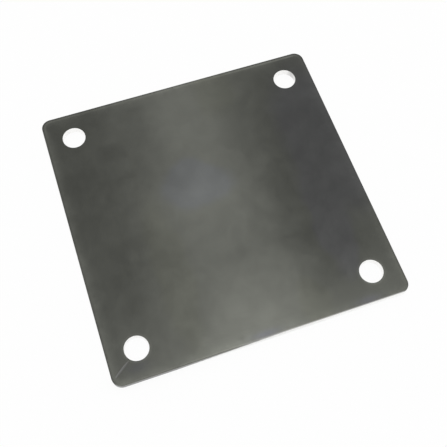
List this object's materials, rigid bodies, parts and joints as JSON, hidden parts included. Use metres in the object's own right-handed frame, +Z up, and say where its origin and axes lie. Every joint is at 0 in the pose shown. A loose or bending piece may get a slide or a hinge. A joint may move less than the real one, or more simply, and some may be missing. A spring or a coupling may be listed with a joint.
{
  "type": "square cover plate",
  "caption": "Flat square steel cover plate with rounded corners and a bolt clearance hole near each corner, for closing an opening or backing a joint.",
  "frame": {"origin": "centre of the underside, the face that bears on the frame", "axes": "+Z up through the thickness, out of the outer face; X and Y along the sides"},
  "size_m": [0.15, 0.15, 0.004],
  "materials": {
    "plate": "dark hot-rolled mill finish with bright cut edges"
  },
  "bodies": {
    "root": {"plate": "plate"}
  },
  "joints": []
}
